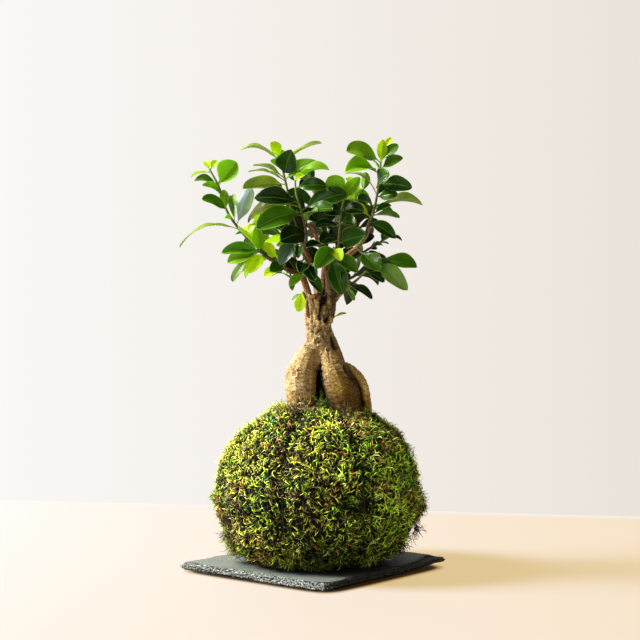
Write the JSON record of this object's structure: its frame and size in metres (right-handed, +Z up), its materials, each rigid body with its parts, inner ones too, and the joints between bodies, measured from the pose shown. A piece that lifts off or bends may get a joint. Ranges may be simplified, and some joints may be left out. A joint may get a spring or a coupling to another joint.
{
  "type": "kokedama moss ball plant",
  "caption": "Small ginseng fig with swollen roots and a leafy crown, growing from a ball of moss that rests on a square slate plate.",
  "frame": {"origin": "middle of the slate plate's underside, on the surface that it stands on", "axes": "+Z up, -Y towards the viewer of the picture, +X to the right of the picture"},
  "size_m": [0.2097, 0.2038, 0.3593],
  "materials": {
    "slate": "matte",
    "soil": "matte",
    "moss": "matte",
    "thread": "matte",
    "bark": "matte",
    "leaf": "satin"
  },
  "bodies": {
    "root": {"slate_plate": "slate", "soil_ball": "soil", "moss_skin": "moss", "binding_thread": "thread", "trunk": "bark", "leafy_shoot_left_top": "leaf", "leafy_shoot_left_low": "leaf", "leafy_shoot_lower_left": "leaf", "leafy_shoot_left_front": "leaf", "leafy_shoot_centre_left": "leaf", "leafy_shoot_centre_front": "leaf", "leafy_shoot_centre_right": "leaf", "leafy_shoot_right_top": "leaf", "leafy_shoot_right_mid": "leaf", "leafy_shoot_right_low": "leaf", "leafy_shoot_right_twig": "leaf", "leafy_shoot_low_right": "leaf", "leafy_shoot_front_low": "leaf", "leafy_shoot_front_left_low": "leaf", "leafy_shoot_trunk_left": "leaf", "leafy_shoot_trunk_right": "leaf", "leafy_shoot_back_top": "leaf", "leafy_shoot_middle_left": "leaf", "leafy_shoot_middle_right": "leaf", "leafy_shoot_back_top_right": "leaf", "leafy_shoot_back_top_left": "leaf", "leafy_shoot_back_left_side": "leaf", "leafy_shoot_back_right_side": "leaf", "leafy_shoot_back_middle": "leaf", "leafy_shoot_back_low_left": "leaf", "leafy_shoot_back_low_right": "leaf"}
  },
  "joints": []
}
